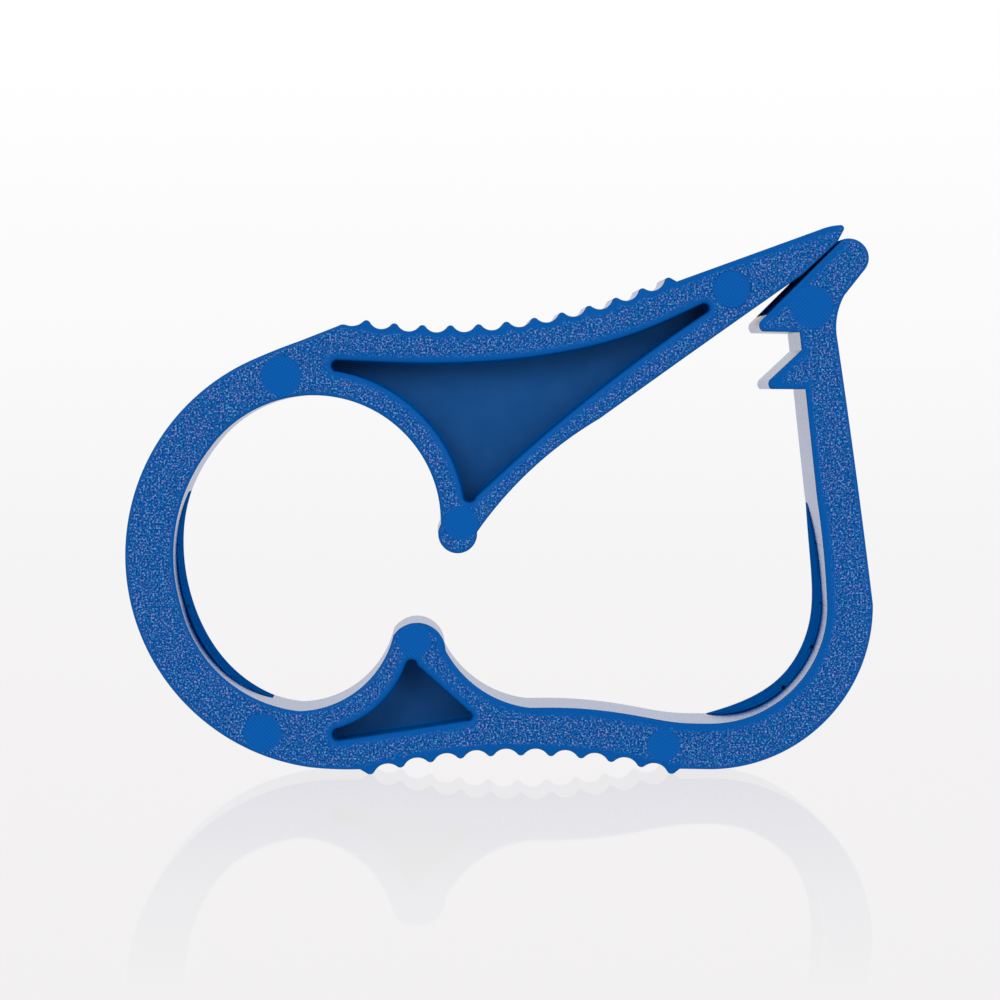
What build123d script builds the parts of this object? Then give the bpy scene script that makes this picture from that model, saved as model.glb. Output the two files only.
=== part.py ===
from build123d import *
import math
import os

os.makedirs("parts", exist_ok=True)

# One-piece moulded ratchet clamp for flexible tubing, in millimetres.
# X runs along the clamp, Z is up, Y is the thickness (front face at -Y).
THICK = 10.0            # moulding thickness along Y
FRONT = -THICK / 2      # front face
REAR = THICK / 2        # rear face
WEB = 4.0               # web left between the front and rear pockets
LEDGE_FRONT = -0.8      # front of the stiffening ledges inside the two flexing bends
MARK_DEPTH = 0.10       # depth of the round ejector marks

BOW_C = (-11.2, 15.4)             # centre the bow is divided about
BOW_CUTS = (100, 122, 144, 166, 188)   # flexing places round the bow, degrees
HEEL_C = (14.8, 11.75)            # centre of the rounded heel
HEEL_CUTS = (-35, -10)            # flexing places round the heel, degrees
POST_CUT_LOW = 13.65              # level flexing places of the latch post
POST_CUT_HIGH = 18.4
HEEL_START = 13.4                 # where the lower arm becomes the heel
BASE_END = -12.8                  # where the bow becomes the lower arm
BEAK_START = 18.0                 # where the upper arm becomes the beak
UPPER_NOSE_TOP = 18.6
LOWER_NOSE_FOOT = 8.3

TOP_C = (-4.07, 70.28)            # centre of the thumb scallop on the upper arm
TOP_R = 39.30                     # radius of its valleys
TOP_FIRST = -7.82                 # first ridge, degrees from straight down
TOP_PITCH = 2.885
TOP_COUNT = 12
LOW_C = (1.435, -41.80)           # centre of the finger scallop under the lower arm
LOW_R = 43.10                     # radius of its ridge tips
LOW_FIRST = -9.07                 # X of the first ridge
LOW_PITCH = 2.101
LOW_COUNT = 11
RIDGE_BACKING = 0.35              # moulding kept with the ridges below their valleys

MARKS = (
    (-15.35, 27.93, 2.86),
    (16.20, 34.02, 2.66),
    (21.80, 32.76, 3.08),
    (-2.77, 17.64, 2.43),
    (-6.05, 9.38, 2.41),
    (-16.70, 2.94, 2.72),
    (11.45, 2.03, 2.35),
)


def at(p, y=0.0):
    return Vector(p[0], y, p[1])


def arc(a, b, c):
    return Edge.make_three_point_arc(at(a), at(b), at(c))


def line(a, b):
    return Edge.make_line(at(a), at(b))


def curve(*points):
    return Edge.make_spline([at(p) for p in points])


def prism(edges, y0, y1):
    face = Face(Wire(edges))
    return Solid.extrude(face, Vector(0, y1 - y0, 0)).moved(Location((0, y0, 0)))


def block(x0, x1, z0, z1):
    edges = [line((x0, z0), (x1, z0)), line((x1, z0), (x1, z1)), line((x1, z1), (x0, z1)), line((x0, z1), (x0, z0))]
    return prism(edges, FRONT - 1, REAR + 1)


def disc(centre, radius, y0, y1):
    ring = Solid.make_cylinder(radius, y1 - y0, Plane(origin=at(centre, y0), z_dir=(0, 1, 0)))
    return ring


def polar(centre, radius, degrees):
    a = math.radians(degrees)
    return (centre[0] + radius * math.cos(a), centre[1] + radius * math.sin(a))


def sector(centre, low, high, reach):
    """Wedge about a centre, between two directions less than 180 degrees apart."""
    a, b = polar(centre, reach, low), polar(centre, reach, high)
    m = polar(centre, reach, (low + high) / 2)
    return prism([line(centre, a), arc(a, m, b), line(b, centre)], FRONT - 1, REAR + 1)


def ridge_line(ring, flat):
    """Valley and crest arcs of a ridge row. ring(u, h) gives the point at place u and height h."""
    edges = []
    count, pitch, first = flat
    half = 0.125
    for k in range(count):
        u = first + k * pitch
        edges.append(arc(ring(u - half * pitch, 0.36), ring(u, 0.49), ring(u + half * pitch, 0.36)))
        if k < count - 1:
            edges.append(arc(ring(u + half * pitch, 0.36), ring(u + pitch / 2, 0), ring(u + (1 - half) * pitch, 0.36)))
    return edges


def top_ring(u, h):
    return polar(TOP_C, TOP_R - h, -90 + u)


def low_ring(u, h):
    a = math.degrees(math.asin((u - LOW_C[0]) / LOW_R))
    return polar(LOW_C, LOW_R + 0.49 - h, 90 - a)


def outline():
    """The whole moulding seen from the front, one closed line from the beak round to the beak."""
    top_first = top_ring(TOP_FIRST - 0.125 * TOP_PITCH, 0.36)
    top_last = top_ring(TOP_FIRST + (TOP_COUNT - 1 + 0.125) * TOP_PITCH, 0.36)
    low_first = low_ring(LOW_FIRST - 0.125 * LOW_PITCH, 0.36)
    low_last = low_ring(LOW_FIRST + (LOW_COUNT - 1 + 0.125) * LOW_PITCH, 0.36)
    edges = []
    # beak: blunt rounded tip, then the long back of the beak
    edges.append(line((23.62, 37.33), (24.02, 38.10)))
    edges.append(arc((24.02, 38.10), (24.03, 38.41), (23.76, 38.50)))
    edges.append(arc((23.76, 38.50), (23.10, 38.41), (22.40, 38.19)))
    edges.append(line((22.40, 38.19), (12.35, 34.55)))
    # thumb ridges, from the beak end to the bow end
    edges.append(line((12.35, 34.55), top_last))
    for e in reversed(ridge_line(top_ring, (TOP_COUNT, TOP_PITCH, TOP_FIRST))):
        edges.append(e)
    edges.append(arc(top_first, (-10.40, 31.43), (-10.85, 31.52)))
    edges.append(arc((-10.85, 31.52), (-11.10, 31.53), (-11.35, 31.44)))
    # bow, outside
    edges.append(line((-11.35, 31.44), (-14.04, 30.38)))
    edges.append(arc((-14.04, 30.38), (-15.80, 29.72), (-17.54, 28.98)))
    edges.append(arc((-17.54, 28.98), (-26.26, 15.38), (-13.34, 0.50)))
    edges.append(arc((-13.34, 0.50), (-11.60, 0.37), (-9.86, 0.36)))
    # finger ridges
    edges.append(line((-9.86, 0.36), low_first))
    for e in ridge_line(low_ring, (LOW_COUNT, LOW_PITCH, LOW_FIRST)):
        edges.append(e)
    edges.append(line(low_last, (12.60, 0.36)))
    edges.append(line((12.60, 0.36), (14.71, 0.32)))
    # heel and post, outside
    edges.append(arc((14.71, 0.32), (22.81, 3.67), (26.16, 11.90)))
    edges.append(arc((26.16, 11.90), (25.17, 19.60), (23.63, 30.45)))
    # release tab
    edges.append(arc((23.63, 30.45), (23.62, 32.20), (24.12, 33.60)))
    edges.append(line((24.12, 33.60), (25.55, 35.40)))
    edges.append(arc((25.55, 35.40), (25.82, 36.15), (25.50, 37.06)))
    edges.append(arc((25.50, 37.06), (24.85, 37.50), (23.97, 37.50)))
    # hook, first notch, second tooth
    edges.append(line((23.97, 37.50), (18.35, 31.89)))
    edges.append(arc((18.35, 31.89), (18.13, 31.50), (18.35, 31.05)))
    edges.append(line((18.35, 31.05), (20.97, 31.00)))
    edges.append(line((20.97, 31.00), (21.11, 29.75)))
    edges.append(line((21.11, 29.75), (19.01, 27.79)))
    edges.append(arc((19.01, 27.79), (18.78, 27.40), (18.95, 27.02)))
    edges.append(line((18.95, 27.02), (21.39, 27.00)))
    # post and heel, inside
    edges.append(arc((21.39, 27.00), (21.82, 23.00), (22.23, 19.25)))
    edges.append(arc((22.23, 19.25), (22.76, 14.80), (22.95, 11.70)))
    edges.append(arc((22.95, 11.70), (20.64, 6.03), (14.71, 3.53)))
    # top of the lower arm
    edges.append(curve((14.71, 3.53), (12.57, 3.60), (9.77, 4.06), (6.97, 4.48), (4.40, 4.66), (2.07, 4.66)))
    edges.append(arc((2.07, 4.66), (-1.60, 6.10), (-3.85, 8.70)))
    # lower pinch nose
    edges.append(arc((-3.85, 8.70), (-5.55, 10.62), (-7.50, 9.76)))
    # bow, inside
    edges.append(arc((-7.50, 9.76), (-9.60, 6.24), (-14.11, 4.45)))
    edges.append(arc((-14.11, 4.45), (-19.55, 6.93), (-22.40, 11.90)))
    edges.append(arc((-22.40, 11.90), (-22.90, 15.60), (-20.34, 22.86)))
    edges.append(arc((-20.34, 22.86), (-11.70, 26.47), (-4.17, 17.57)))
    # upper pinch nose
    edges.append(arc((-4.17, 17.57), (-3.02, 15.51), (-1.64, 17.00)))
    # underside of the upper arm and the slope that rests on the hook
    edges.append(arc((-1.64, 17.00), (2.05, 21.27), (6.97, 24.96)))
    edges.append(arc((6.97, 24.96), (14.00, 29.99), (21.20, 35.06)))
    edges.append(line((21.20, 35.06), (23.62, 37.33)))
    return edges


def upper_pocket():
    """Outline of the upper pocket, from its bow end round the beak end and the tip above the pinch nose."""
    return [
        curve((-11.42, 29.05), (-3.54, 28.84), (3.47, 29.45), (9.77, 31.05), (14.15, 33.00)),
        arc((14.15, 33.00), (14.62, 32.78), (14.40, 32.33)),
        arc((14.40, 32.33), (6.40, 26.55), (-1.74, 19.45)),
        arc((-1.74, 19.45), (-2.20, 19.10), (-2.60, 19.55)),
        arc((-2.60, 19.55), (-5.15, 24.80), (-11.42, 28.25)),
        arc((-11.42, 28.25), (-11.83, 28.65), (-11.42, 29.05)),
    ]


def lower_pocket():
    """Outline of the lower pocket, from its apex under the pinch nose."""
    return [
        arc((-6.62, 7.80), (-6.25, 8.05), (-5.85, 7.68)),
        line((-5.85, 7.68), (-2.20, 4.40)),
        arc((-2.20, 4.40), (-1.98, 4.02), (-2.35, 3.76)),
        line((-2.35, 3.76), (-11.38, 2.37)),
        arc((-11.38, 2.37), (-11.80, 2.80), (-11.38, 3.24)),
        arc((-11.38, 3.24), (-8.25, 5.15), (-6.62, 7.80)),
    ]


def ledges():
    """The two crescents that thicken the rear of the flexing bends."""
    bow_in = [
        arc((-16.00, 26.60), (-22.56, 15.40), (-16.40, 5.40)),
        line((-16.40, 5.40), (-17.40, 4.30)),
        arc((-17.40, 4.30), (-24.00, 15.40), (-17.00, 27.60)),
        line((-17.00, 27.60), (-16.00, 26.60)),
    ]
    heel_in = [
        curve((14.20, 3.40), (17.10, 4.42), (20.20, 6.53), (22.08, 10.30), (22.33, 14.00), (22.26, 19.30)),
        line((22.26, 19.30), (23.20, 19.30)),
        curve((23.20, 19.30), (23.70, 12.00), (20.80, 5.30), (14.20, 2.80)),
        line((14.20, 2.80), (14.20, 3.40)),
    ]
    return [prism(bow_in, LEDGE_FRONT, REAR), prism(heel_in, LEDGE_FRONT, REAR)]


def moulding():
    """The moulding in one solid, pockets open right through where the webs go."""
    body = prism(outline(), FRONT, REAR)
    for ledge in ledges():
        body = body + ledge
    for edges in (upper_pocket(), lower_pocket()):
        body = body - prism(edges, FRONT - 1, REAR + 1)
    for x, z, d in MARKS:
        body = body - disc((x, z), d / 2, FRONT - 1, FRONT + MARK_DEPTH)
    return body


def one(shape):
    """The single solid that a cut leaves."""
    solids = sorted(shape.solids(), key=lambda s: -s.volume)
    for s in solids[1:]:
        if s.volume > 0.05:
            raise ValueError("a cut left more than one solid: %s" % [round(v.volume, 3) for v in solids])
    return solids[0]


whole = moulding()

# stretches of the moulding by place
bow_zone = block(-30, BASE_END, -2, 34)
nodes = {}

# bow: the flexing stretches, then the stiff base down to the lower arm
names = ("bow_segment_4", "bow_segment_3", "bow_segment_2", "bow_segment_1")
for k, name in enumerate(names):
    wedge = sector(BOW_C, BOW_CUTS[k], BOW_CUTS[k + 1], 22)
    nodes[name] = one(whole & wedge)
base_wedge = sector(BOW_C, BOW_CUTS[-1], 250, 22) + sector(BOW_C, 250, 300, 22)
nodes["bow_base"] = one(whole & base_wedge & bow_zone)

# latch post: three flexing stretches, then the head with hook, tooth and release tab
post_low = sector(HEEL_C, HEEL_CUTS[0], HEEL_CUTS[1], 16)
nodes["post_segment_1"] = one(whole & post_low)
right = block(21.0, 30, -2, 26)
above = sector(HEEL_C, HEEL_CUTS[1], 60, 30)
nodes["post_segment_2"] = one(whole & above & block(21.0, 30, -2, POST_CUT_LOW))
nodes["post_segment_3"] = one(whole & block(21.0, 30, POST_CUT_LOW, POST_CUT_HIGH))
head_zone = [
    line((21.0, POST_CUT_HIGH), (30, POST_CUT_HIGH)),
    line((30, POST_CUT_HIGH), (30, 40)),
    line((30, 40), (26.48, 39.93)),
    line((26.48, 39.93), (17.0, 30.45)),
    line((17.0, 30.45), (17.0, 26.0)),
    line((17.0, 26.0), (21.0, 26.0)),
    line((21.0, 26.0), (21.0, POST_CUT_HIGH)),
]
nodes["latch_head"] = one(whole & prism(head_zone, FRONT - 1, REAR + 1))

# heel, from the lower arm round to the post
heel_zone = block(HEEL_START, 30, -2, 14) & (sector(HEEL_C, -200, -110, 30) + sector(HEEL_C, -110, HEEL_CUTS[0], 30))
nodes["heel"] = one(whole & heel_zone)

# lower arm and what stands on it
lower = whole & block(BASE_END, HEEL_START, -2, 12)
lower_ring = disc(LOW_C, LOW_R + 0.49 + RIDGE_BACKING, FRONT - 1, REAR + 1)
low_strip = lower_ring & block(-9.86, 12.60, -2, 6)
nodes["lower_grip_ridges"] = one(lower & low_strip)
nodes["lower_pinch_nose"] = one(lower & block(-9.5, -2.0, LOWER_NOSE_FOOT, 12))
nodes["lower_arm"] = one(lower - low_strip - block(-9.5, -2.0, LOWER_NOSE_FOOT, 12))
nodes["lower_web"] = prism(lower_pocket(), -WEB / 2, WEB / 2)

# upper arm and what stands on it
arm_sector = sector(BOW_C, -20, BOW_CUTS[0], 60)
upper = whole & arm_sector & block(-20, 30, 15.0, 42)
below_slope = [
    line((12.0, 14.0), (30.0, 14.0)),
    line((30.0, 14.0), (30.0, 43.53)),
    line((30.0, 43.53), (18.0, 31.56)),
    line((18.0, 31.56), (12.0, 27.2)),
    line((12.0, 27.2), (12.0, 14.0)),
]
upper = upper - prism(below_slope, FRONT - 1, REAR + 1)
top_ring_disc = disc(TOP_C, TOP_R + RIDGE_BACKING, FRONT - 1, REAR + 1)
top_strip = top_ring_disc & block(-10.50, 12.35, 30, 37)
nodes["upper_grip_ridges"] = one(upper & top_strip)
nodes["beak"] = one(upper & block(BEAK_START, 30, 30, 42))
nose_block = block(-6.0, 0.5, 15.0, UPPER_NOSE_TOP)
nodes["upper_pinch_nose"] = one(upper & nose_block)
nodes["upper_arm"] = one(upper - top_strip - block(BEAK_START, 30, 30, 42) - nose_block)
nodes["upper_web"] = prism(upper_pocket(), -WEB / 2, WEB / 2)

total = 0.0
for name, solid in nodes.items():
    total = total + solid.volume
    export_step(solid, "parts/" + name + ".step")
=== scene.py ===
import math

import bmesh
import bpy
import numpy as np
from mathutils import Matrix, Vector, geometry, kdtree

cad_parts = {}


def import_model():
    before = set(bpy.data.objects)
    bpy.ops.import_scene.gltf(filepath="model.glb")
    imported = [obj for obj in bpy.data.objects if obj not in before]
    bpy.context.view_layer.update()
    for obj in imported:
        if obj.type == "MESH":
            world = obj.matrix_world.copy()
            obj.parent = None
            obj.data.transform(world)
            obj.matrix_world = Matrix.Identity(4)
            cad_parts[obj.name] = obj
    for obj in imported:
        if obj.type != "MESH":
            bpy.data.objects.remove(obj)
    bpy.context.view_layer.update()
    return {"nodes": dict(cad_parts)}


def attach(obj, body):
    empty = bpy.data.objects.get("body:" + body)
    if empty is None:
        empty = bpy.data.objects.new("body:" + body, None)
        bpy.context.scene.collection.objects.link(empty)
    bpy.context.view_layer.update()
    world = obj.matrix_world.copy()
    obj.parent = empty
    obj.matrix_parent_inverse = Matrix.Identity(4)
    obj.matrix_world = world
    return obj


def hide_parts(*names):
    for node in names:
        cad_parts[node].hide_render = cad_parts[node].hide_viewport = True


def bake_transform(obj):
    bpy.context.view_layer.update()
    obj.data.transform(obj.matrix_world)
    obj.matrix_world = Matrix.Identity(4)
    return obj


# A one-piece moulded ratchet clamp for flexible tubing. Lengths here are in millimetres until a mesh is
# made. Plane points are (X, Z); Y is the thickness, with the front face at -Y.
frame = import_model()
MM = 0.001

HALF = 5.0            # half the thickness
WEB_HALF = 2.0        # half the web between the pockets
EDGE_R = 0.14         # rounding of the outer edges
RIM_R = 0.30          # rounding of the pocket rims
TOE = 0.16            # fillet where a pocket wall meets its web
SINK = 0.002          # how far the fillet's foot goes into the web
LEDGE_Y = -0.8        # front of the stiffening ledges
BOW_C = (-11.2, 15.4)
HEEL_C = (14.8, 11.75)
TOP_C, TOP_R, TOP_FIRST, TOP_PITCH, TOP_COUNT = (-4.07, 70.28), 39.30, -7.82, 2.885, 12
LOW_C, LOW_R, LOW_FIRST, LOW_PITCH, LOW_COUNT = (1.435, -41.80), 43.59, -9.07, 2.101, 11
CREST, SHOULDER, HALF_CREST = 0.49, 0.36, 0.125
LINE_STEP, POCKET_STEP, CUT_STEP, GRID_STEP = 0.24, 0.30, 0.60, 0.55   # spacing of points
SHARP = 38            # degrees from which an edge is drawn sharp
CORNER = 0.8          # end of a cut whose points match the face's edge rows
MARK_IN, MARK_OUT = 0.05, 0.02   # slope round an ejector mark
FULL_WALL = 9.0       # a wall taller than this goes from face to face

# Ejector marks: x, z, diameter, depth.
MARKS = (
    (-15.35, 27.93, 2.86, 0.015),
    (16.20, 34.02, 2.66, 0.06),
    (21.80, 32.76, 3.08, 0.015),
    (-2.77, 17.64, 2.43, 0.02),
    (-6.05, 9.38, 2.41, 0.02),
    (-16.70, 2.94, 2.72, 0.015),
    (11.45, 2.03, 2.35, 0.02),
)


# ---------------------------------------------------------------- plane curves
def polar(centre, radius, degrees):
    a = math.radians(degrees)
    return (centre[0] + radius * math.cos(a), centre[1] + radius * math.sin(a))


def circle_of(a, b, c):
    """Centre of the circle through three points."""
    (ax, ay), (bx, by), (cx, cy) = a, b, c
    d = 2 * (ax * (by - cy) + bx * (cy - ay) + cx * (ay - by))
    a2, b2, c2 = ax * ax + ay * ay, bx * bx + by * by, cx * cx + cy * cy
    return ((a2 * (by - cy) + b2 * (cy - ay) + c2 * (ay - by)) / d,
            (a2 * (cx - bx) + b2 * (ax - cx) + c2 * (bx - ax)) / d)


def arc_points(a, b, c, step):
    """Points after a, up to and with c, on the arc a-b-c."""
    o = circle_of(a, b, c)
    r = math.hypot(a[0] - o[0], a[1] - o[1])
    ta, tb, tc = (math.atan2(p[1] - o[1], p[0] - o[0]) for p in (a, b, c))
    turn = (tc - ta) % (2 * math.pi)
    if (tb - ta) % (2 * math.pi) > turn:
        turn -= 2 * math.pi
    n = max(2, math.ceil(abs(turn) * r / step), math.ceil(abs(turn) / math.radians(9)))
    return [polar(o, r, math.degrees(ta + turn * k / n)) for k in range(1, n)] + [c]


def line_points(a, c, step):
    n = max(1, math.ceil(math.dist(a, c) / step))
    return [(a[0] + (c[0] - a[0]) * k / n, a[1] + (c[1] - a[1]) * k / n) for k in range(1, n)] + [c]


def spline_points(points, step):
    """Natural cubic through the points."""
    p = np.array(points, float)
    t = np.concatenate([[0], np.cumsum(np.hypot(*np.diff(p, axis=0).T))])
    n, h = len(p), np.diff(t)
    m = np.eye(n)
    rhs = np.zeros((n, 2))
    for i in range(1, n - 1):
        m[i, i - 1:i + 2] = h[i - 1], 2 * (h[i - 1] + h[i]), h[i]
        rhs[i] = 6 * ((p[i + 1] - p[i]) / h[i] - (p[i] - p[i - 1]) / h[i - 1])
    k = np.linalg.solve(m, rhs)
    out = []
    for i in range(n - 1):
        count = max(2, math.ceil(h[i] / step))
        for s in range(1, count + 1):
            u = h[i] * s / count
            v = h[i] - u
            q = (k[i] * v ** 3 + k[i + 1] * u ** 3) / (6 * h[i])
            q = q + (p[i] / h[i] - k[i] * h[i] / 6) * v + (p[i + 1] / h[i] - k[i + 1] * h[i] / 6) * u
            out.append(tuple(q))
    out[-1] = points[-1]
    return out


def trace(start, moves, step=LINE_STEP):
    """Points of a line of moves, and the smooth margin asked for along each of them."""
    points, margins, margin = [start], [0.0], 0.0
    for move in moves:
        kind, args = move[0], move[1:]
        if kind == "margin":
            margin = args[0]
            continue
        here = points[-1]
        if kind == "to":
            new = line_points(here, args[0], 2 * step)
        elif kind == "arc":
            new = arc_points(here, args[0], args[1], step)
        else:
            new = spline_points((here,) + args, step)
        points += new
        margins += [margin] * len(new)
    return points, margins


def ridges(ring, places, pitch):
    """Crest and valley arcs along a ridge row, in the order of the places."""
    side = math.copysign(1, places[-1] - places[0])
    moves = []
    for k, u in enumerate(places):
        moves.append(("arc", ring(u, CREST), ring(u + side * HALF_CREST * pitch, SHOULDER)))
        if k < len(places) - 1:
            moves.append(("arc", ring(u + side * pitch / 2, 0.0),
                          ring(u + side * (1 - HALF_CREST) * pitch, SHOULDER)))
    return moves


def top_ring(u, h):
    return polar(TOP_C, TOP_R - h, -90 + u)


def low_ring(u, h):
    return polar(LOW_C, LOW_R - h, 90 - math.degrees(math.asin((u - LOW_C[0]) / (LOW_R - CREST))))


TOP_PLACES = [TOP_FIRST + k * TOP_PITCH for k in reversed(range(TOP_COUNT))]
LOW_PLACES = [LOW_FIRST + k * LOW_PITCH for k in range(LOW_COUNT)]
OUTLINE, MARGIN = trace((23.62, 37.33), [
    ("margin", 0.12), ("to", (24.02, 38.10)), ("arc", (24.03, 38.41), (23.76, 38.50)),
    ("margin", 0.42), ("arc", (23.10, 38.41), (22.40, 38.19)), ("to", (12.35, 34.55)),
    ("to", top_ring(TOP_PLACES[0] + HALF_CREST * TOP_PITCH, SHOULDER)),
    *ridges(top_ring, TOP_PLACES, TOP_PITCH),
    ("margin", 0.30), ("arc", (-10.40, 31.43), (-10.85, 31.52)), ("arc", (-11.10, 31.53), (-11.35, 31.44)),
    ("margin", 0.16), ("to", (-14.04, 30.38)), ("arc", (-15.80, 29.72), (-17.54, 28.98)),
    ("arc", (-26.26, 15.38), (-13.34, 0.50)), ("arc", (-11.60, 0.37), (-9.86, 0.36)),
    ("margin", 0.40), ("to", low_ring(LOW_PLACES[0] - HALF_CREST * LOW_PITCH, SHOULDER)),
    *ridges(low_ring, LOW_PLACES, LOW_PITCH),
    ("margin", 0.16), ("to", (12.60, 0.36)), ("to", (14.71, 0.32)), ("arc", (22.81, 3.67), (26.16, 11.90)),
    ("arc", (25.17, 19.60), (23.63, 30.45)), ("arc", (23.62, 32.20), (24.12, 33.60)),
    ("to", (25.55, 35.40)), ("arc", (25.82, 36.15), (25.50, 37.06)), ("arc", (24.85, 37.50), (23.97, 37.50)),
    ("margin", 0.60), ("to", (18.35, 31.89)), ("arc", (18.13, 31.50), (18.35, 31.05)),
    ("margin", 0.30), ("to", (20.97, 31.00)), ("to", (21.11, 29.75)),
    ("margin", 0.50), ("to", (19.01, 27.79)), ("arc", (18.78, 27.40), (18.95, 27.02)),
    ("margin", 0.40), ("to", (21.39, 27.00)), ("arc", (21.82, 23.00), (22.23, 19.25)),
    ("margin", 0.55), ("arc", (22.76, 14.80), (22.95, 11.70)), ("arc", (20.64, 6.03), (14.71, 3.53)),
    ("curve", (12.57, 3.60), (9.77, 4.06), (6.97, 4.48), (4.40, 4.66), (2.07, 4.66)),
    ("margin", 0.45), ("arc", (-1.60, 6.10), (-3.85, 8.70)), ("arc", (-5.55, 10.62), (-7.50, 9.76)),
    ("margin", 0.20), ("arc", (-9.60, 6.24), (-14.11, 4.45)), ("arc", (-19.55, 6.93), (-22.40, 11.90)),
    ("arc", (-22.90, 15.60), (-20.34, 22.86)), ("arc", (-11.70, 26.47), (-4.17, 17.57)),
    ("arc", (-3.02, 15.51), (-1.64, 17.00)),
    ("margin", 0.14), ("arc", (2.05, 21.27), (6.97, 24.96)), ("arc", (14.00, 29.99), (21.20, 35.06)),
    ("to", (23.62, 37.33)),
])
OUTLINE, MARGIN = OUTLINE[:-1], MARGIN[1:]

UPPER_POCKET = trace((-11.42, 29.05), [
    ("curve", (-3.54, 28.84), (3.47, 29.45), (9.77, 31.05), (14.15, 33.00)),
    ("arc", (14.62, 32.78), (14.40, 32.33)), ("arc", (6.40, 26.55), (-1.74, 19.45)),
    ("arc", (-2.20, 19.10), (-2.60, 19.55)), ("arc", (-5.15, 24.80), (-11.42, 28.25)),
    ("arc", (-11.83, 28.65), (-11.42, 29.05)),
], POCKET_STEP)[0][:-1]
LOWER_POCKET = trace((-6.62, 7.80), [
    ("arc", (-6.25, 8.05), (-5.85, 7.68)), ("to", (-2.20, 4.40)), ("arc", (-1.98, 4.02), (-2.35, 3.76)),
    ("to", (-11.38, 2.37)), ("arc", (-11.80, 2.80), (-11.38, 3.24)), ("arc", (-8.25, 5.15), (-6.62, 7.80)),
], POCKET_STEP)[0][:-1]
BOW_LEDGE = trace((-20.90, 22.60), [
    ("curve", (-22.42, 18.60), (-22.68, 15.20), (-22.12, 12.00),
     (-19.40, 7.12), (-16.60, 5.10), (-14.20, 4.25))])[0]
HEEL_LEDGE = trace((14.20, 3.30), [
    ("curve", (17.18, 4.20), (20.49, 6.18), (22.60, 10.30),
     (22.68, 14.00), (22.46, 16.60), (22.26, 19.30))])[0]


# ---------------------------------------------------------------- plane sums
def crossing(a, b, c, d):
    """Where segments ab and cd cross, as (share along ab, share along cd), or None."""
    r, s = (b[0] - a[0], b[1] - a[1]), (d[0] - c[0], d[1] - c[1])
    k = r[0] * s[1] - r[1] * s[0]
    if abs(k) < 1e-12:
        return None
    t = ((c[0] - a[0]) * s[1] - (c[1] - a[1]) * s[0]) / k
    u = ((c[0] - a[0]) * r[1] - (c[1] - a[1]) * r[0]) / k
    return (t, u) if 0 <= t < 1 and 0 <= u < 1 else None


def distance(points, line, closed=True):
    """Distance from each point to a polyline, and the number of its nearest segment."""
    p, a = np.asarray(points, float), np.asarray(line, float)
    count = len(a) if closed else len(a) - 1
    tree = kdtree.KDTree(len(a))
    for k, (x, z) in enumerate(a.tolist()):
        tree.insert((x, z, 0.0), k)
    tree.balance()
    near = min(5, len(a))
    close = [[h[1] for h in tree.find_n((x, z, 0.0), near)] for x, z in p.tolist()]
    close = np.array(close).reshape(-1, near)
    which = np.concatenate([close, close - 1], axis=1)
    which = which % count if closed else np.clip(which, 0, count - 1)
    start = a[which]
    d = a[(which + 1) % len(a)] - start
    q = p[:, None, :] - start
    t = np.clip((q * d).sum(2) / np.maximum((d * d).sum(2), 1e-12), 0, 1)
    r = np.hypot(*np.moveaxis(q - t[..., None] * d, 2, 0))
    best = r.argmin(1)
    row = np.arange(len(p))
    return r[row, best], which[row, best]


def inside(points, ring):
    p = np.asarray(points, float)
    a = np.asarray(ring, float)
    b = np.roll(a, -1, axis=0)
    hit = np.zeros(len(p), bool)
    for (x0, y0), (x1, y1) in zip(a, b):
        if y0 != y1:
            over = (y0 > p[:, 1]) != (y1 > p[:, 1])
            hit ^= over & (p[:, 0] < (x1 - x0) * (p[:, 1] - y0) / (y1 - y0) + x0)
    return hit


def normals_2d(ring):
    """Outward direction at each point of a closed line that keeps the moulding on its left."""
    a = np.asarray(ring, float)
    d = np.roll(a, -1, axis=0) - a
    d /= np.maximum(np.hypot(*d.T), 1e-9)[:, None]
    n = np.stack([d[:, 1], -d[:, 0]], 1)
    m = n + np.roll(n, 1, axis=0)
    return m / np.maximum(np.hypot(*m.T), 1e-9)[:, None]


def smooth(x, lo, hi):
    t = np.clip((np.asarray(x, float) - lo) / (hi - lo), 0, 1)
    return t * t * (3 - 2 * t)


def rounding(d, r):
    """How far an edge of radius r has dropped at distance d from its side wall."""
    k = np.clip(r - d, 0, r)
    return r - np.sqrt(r * r - k * k)


# ---------------------------------------------------------------- cuts between the pieces
def spoke(centre, degrees, near, far):
    return [polar(centre, near, degrees), polar(centre, far, degrees)]


BOW_ENDS = (199, 177, 155, 133, 111, 96)     # degrees round the bow
HEEL_ENDS = (-47.5, -22.5)                   # degrees round the heel
POST_ENDS = (11.75, 16.0, 20.8)              # heights up the post
CUTS = [spoke(BOW_C, a, 9.0, 19.0) for a in BOW_ENDS]
CUTS += [spoke(HEEL_C, a, 5.5, 14.0) for a in HEEL_ENDS]
CUTS += [[(21.0, z + 0.001), (28.0, z + 0.001)] for z in POST_ENDS]


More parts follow.
